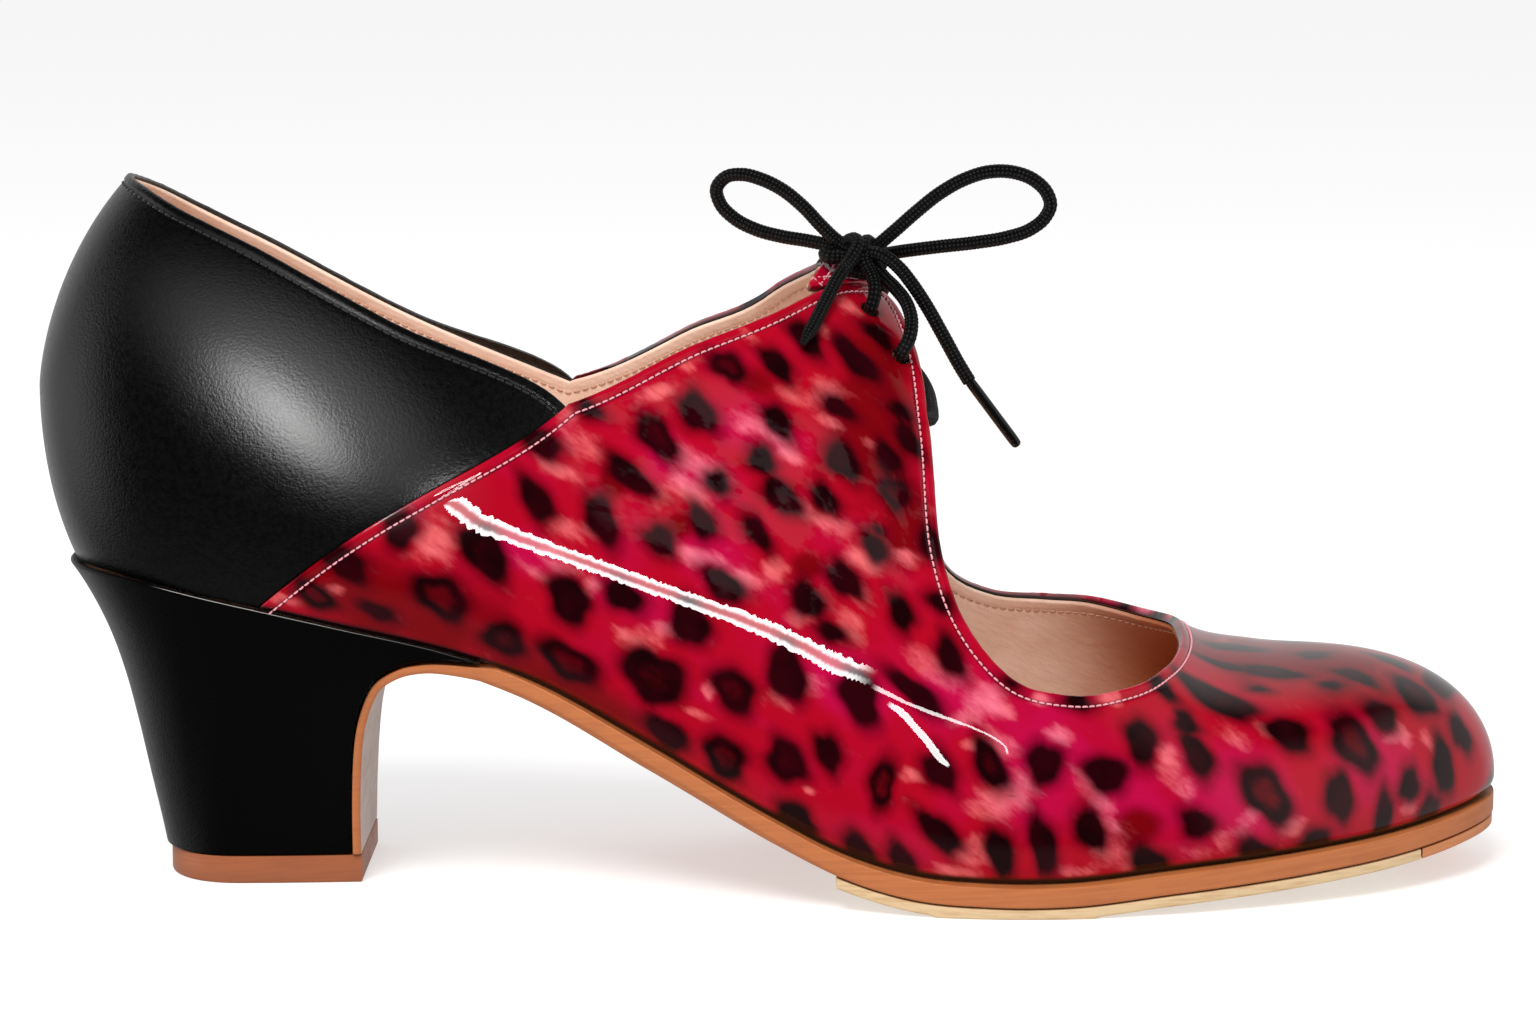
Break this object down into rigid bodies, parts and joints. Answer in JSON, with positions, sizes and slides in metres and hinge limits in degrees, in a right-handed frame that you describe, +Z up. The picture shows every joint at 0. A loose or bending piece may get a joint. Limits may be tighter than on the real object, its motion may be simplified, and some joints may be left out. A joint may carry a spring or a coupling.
{
  "type": "flamenco shoe",
  "caption": "Right heeled flamenco shoe with a leopard-print patent vamp, black heel quarter, open throat, laced wings with a bow, leather sole and covered heel.",
  "frame": {"origin": "middle of the shoe's box seen from above, on the floor plane under the heel and the ball", "axes": "+X to the toe, +Y to the inner side of the foot, +Z up"},
  "size_m": [0.2428, 0.0839, 0.118],
  "materials": {
    "printed_patent_leather": "high-gloss patent, crimson with dark leopard spots",
    "black_leather": "smooth satin, fine grain",
    "nude_lining_leather": "soft matte lining",
    "tan_sole_leather": "satin, polished edge",
    "pale_rubber": "matte",
    "black_braid": "matte braid",
    "black_aglet": "gloss"
  },
  "bodies": {
    "root": {"upper": "printed_patent_leather", "insole": "nude_lining_leather", "outsole": "tan_sole_leather", "half_sole": "pale_rubber", "toe_plate": "tan_sole_leather", "heel_block": "black_leather", "top_lift": "tan_sole_leather", "lace_crossings": "black_braid", "lace_knot": "black_braid", "lace_loop_back": "black_braid", "lace_loop_front": "black_braid", "lace_end_near": "black_braid", "lace_end_front": "black_braid", "aglet_front": "black_aglet"}
  },
  "joints": []
}
